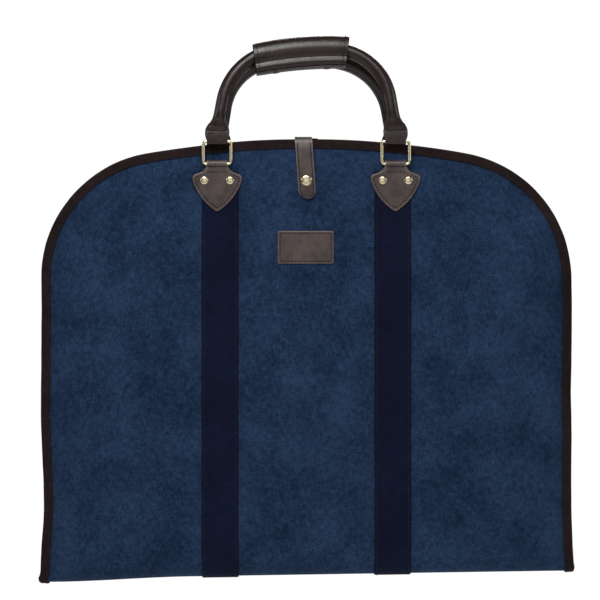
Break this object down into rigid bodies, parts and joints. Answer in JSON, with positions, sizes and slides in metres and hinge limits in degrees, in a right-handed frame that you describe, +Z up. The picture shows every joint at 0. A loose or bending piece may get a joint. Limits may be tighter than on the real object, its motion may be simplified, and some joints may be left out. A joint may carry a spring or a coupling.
{
  "type": "garment bag",
  "caption": "Folding canvas garment bag shut on itself, with webbing straps, leather chapes, rolled handles joined by a grip wrap, a snap tab and a zip.",
  "frame": {"origin": "hanger slot: middle of the front half's top edge, halfway through that half's depth", "axes": "+X to the right seen from the front, +Z up, front face towards -Y"},
  "size_m": [0.584, 0.0714, 0.5961],
  "materials": {
    "washed_canvas": "washed woven canvas",
    "navy_webbing": "ribbed webbing",
    "brown_binding": "woven binding tape",
    "brown_leather": "smooth dark brown leather",
    "brass_rings": "polished pale brass",
    "brass_fittings": "polished pale brass",
    "brass_zip": "satin brass",
    "zip_tape": "woven tape",
    "handle_rope": "cotton rope"
  },
  "bodies": {
    "front_half": {"front_outer_panel": "washed_canvas", "front_inner_panel_left": "washed_canvas", "front_inner_panel_right": "washed_canvas", "front_edge_binding": "brown_binding", "front_webbing_left": "navy_webbing", "front_webbing_right": "navy_webbing", "front_chape_left": "brown_leather", "front_chape_right": "brown_leather", "front_rivet_caps": "brass_fittings", "front_rivet_backs": "brass_fittings", "label_patch": "brown_leather", "snap_stud": "brass_fittings", "snap_stud_eyelet": "brass_fittings", "snap_tab_anchor": "brown_leather", "front_zip_tapes": "zip_tape", "front_zip_teeth": "brass_zip", "zip_top_stops": "brass_zip"},
    "fold_spine": {"fold_outer_panel": "washed_canvas", "fold_inner_panels": "washed_canvas", "fold_bindings": "brown_binding", "fold_webbings": "navy_webbing", "fold_zip_tapes": "zip_tape", "fold_zip_teeth": "brass_zip"},
    "rear_half": {"rear_outer_panel": "washed_canvas", "rear_inner_panel_left": "washed_canvas", "rear_inner_panel_right": "washed_canvas", "rear_edge_binding": "brown_binding", "rear_webbing_left": "navy_webbing", "rear_webbing_right": "navy_webbing", "rear_chape_left": "brown_leather", "rear_chape_right": "brown_leather", "rear_rivet_caps": "brass_fittings", "rear_rivet_backs": "brass_fittings", "rear_zip_tapes": "zip_tape", "rear_zip_teeth": "brass_zip", "zip_bottom_stops": "brass_zip"},
    "snap_tab": {"snap_tab_strap": "brown_leather", "snap_cap": "brass_fittings", "snap_socket": "brass_fittings"},
    "front_ring_left": {"front_ring_left": "brass_rings"},
    "front_ring_right": {"front_ring_right": "brass_rings"},
    "rear_ring_left": {"rear_ring_left": "brass_rings"},
    "rear_ring_right": {"rear_ring_right": "brass_rings"},
    "front_handle": {"front_handle_cover": "brown_leather", "front_handle_core": "handle_rope", "grip_wrap": "brown_leather", "grip_studs": "brass_fittings"},
    "rear_handle": {"rear_handle_cover": "brown_leather", "rear_handle_core": "handle_rope"},
    "grip_flap": {"grip_flap": "brown_leather", "grip_caps": "brass_fittings"},
    "zip_slider": {"zip_slider": "brass_zip"},
    "zip_pull": {"zip_pull": "brass_zip"}
  },
  "joints": [
    {"name": "fold_front", "type": "hinge", "parent": "front_half", "child": "fold_spine", "pos_m": [0, -0.00324, -0.47824], "axis": [-1, 0, 0], "range_deg": [0, 90]},
    {"name": "fold_rear", "type": "hinge", "parent": "fold_spine", "child": "rear_half", "pos_m": [0, 0.02424, -0.47824], "axis": [-1, 0, 0], "range_deg": [0, 90]},
    {"name": "tab_open", "type": "hinge", "parent": "front_half", "child": "snap_tab", "pos_m": [0, 0.0085, 0.001], "axis": [-1, 0, 0], "range_deg": [0, 140]},
    {"name": "front_ring_left_swing", "type": "hinge", "parent": "front_half", "child": "front_ring_left", "pos_m": [-0.098, -0.0115, -0.0274], "axis": [1, 0, 0], "range_deg": [0, 80]},
    {"name": "front_ring_right_swing", "type": "hinge", "parent": "front_half", "child": "front_ring_right", "pos_m": [0.098, -0.0115, -0.0274], "axis": [1, 0, 0], "range_deg": [0, 80]},
    {"name": "front_handle_swing", "type": "hinge", "parent": "front_ring_left", "child": "front_handle", "pos_m": [0, -0.0115, -0.0028], "axis": [1, 0, 0], "range_deg": [0, 80]},
    {"name": "rear_ring_left_swing", "type": "hinge", "parent": "rear_half", "child": "rear_ring_left", "pos_m": [-0.098, 0.0325, -0.0274], "axis": [-1, 0, 0], "range_deg": [0, 80]},
    {"name": "rear_ring_right_swing", "type": "hinge", "parent": "rear_half", "child": "rear_ring_right", "pos_m": [0.098, 0.0325, -0.0274], "axis": [-1, 0, 0], "range_deg": [0, 80]},
    {"name": "rear_handle_swing", "type": "hinge", "parent": "rear_ring_left", "child": "rear_handle", "pos_m": [0, 0.0499, -0.01001], "axis": [-1, 0, 0], "range_deg": [0, 80]},
    {"name": "grip_open", "type": "hinge", "parent": "front_handle", "child": "grip_flap", "pos_m": [0, 0.03495, 0.10561], "axis": [1, 0, 0], "range_deg": [0, 120], "deforming": ["grip_flap"]},
    {"name": "zip_slide", "type": "slide", "parent": "front_half", "child": "zip_slider", "axis": [0, 0, -1], "range_m": [0, 0.385]},
    {"name": "zip_pull_swing", "type": "hinge", "parent": "zip_slider", "child": "zip_pull", "pos_m": [0, 0.0095, -0.051], "axis": [0, 1, 0], "range_deg": [-30, 30]}
  ],
  "couplings": [
    {"joint": "fold_rear", "follows": "fold_front", "ratio": 1},
    {"joint": "front_ring_right_swing", "follows": "front_ring_left_swing", "ratio": 1},
    {"joint": "rear_ring_right_swing", "follows": "rear_ring_left_swing", "ratio": 1}
  ]
}
